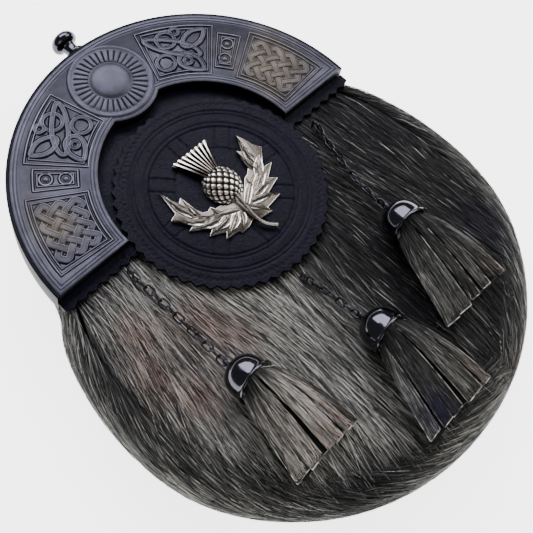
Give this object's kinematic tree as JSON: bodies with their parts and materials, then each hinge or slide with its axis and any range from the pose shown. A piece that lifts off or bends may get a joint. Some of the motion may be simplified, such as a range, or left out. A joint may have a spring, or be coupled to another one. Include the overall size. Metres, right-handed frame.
{
  "type": "dress sporran pouch",
  "caption": "Rounded fur pouch with a cast knotwork cantle, a tooled leather roundel with a thistle badge, and chained hide tassels in metal caps.",
  "frame": {"origin": "centre of the bounding box's base: the back's flat stretch lies on z = 0", "axes": "+Z out of the front, +Y from the foot towards the cantle, +X to the right seen from the front with the cantle up"},
  "size_m": [0.196, 0.243, 0.0461],
  "materials": {
    "antique_nickel": "cast antique nickel, dark in the recesses, satin on the raised lines",
    "silver": "cast silver plate, warm and bright",
    "black_nickel": "polished black nickel",
    "leather": "black grained leather with a soft sheen",
    "fur": "short mottled grey, brown and charcoal seal-like hair",
    "tassel_pale": "pale grey haired hide strips with cut edges",
    "tassel_dark": "charcoal haired hide strips with cut edges"
  },
  "bodies": {
    "root": {"cantle": "antique_nickel", "cantle_knob": "black_nickel", "apron": "leather", "roundel": "leather", "thistle_badge": "silver", "gusset": "fur", "fur_front": "fur", "back_panel": "leather", "belt_loop_left": "leather", "belt_loop_right": "leather", "closing_tab": "leather", "closing_stud": "black_nickel", "chain_staple_left": "black_nickel", "chain_staple_middle": "black_nickel", "chain_staple_right": "black_nickel", "chain_left": "black_nickel", "chain_middle": "black_nickel", "chain_right": "black_nickel", "tassel_cap_left": "black_nickel", "tassel_cap_middle": "black_nickel", "tassel_cap_right": "black_nickel", "tassel_left": "tassel_pale", "tassel_middle": "tassel_dark", "tassel_right": "tassel_dark"}
  },
  "joints": []
}
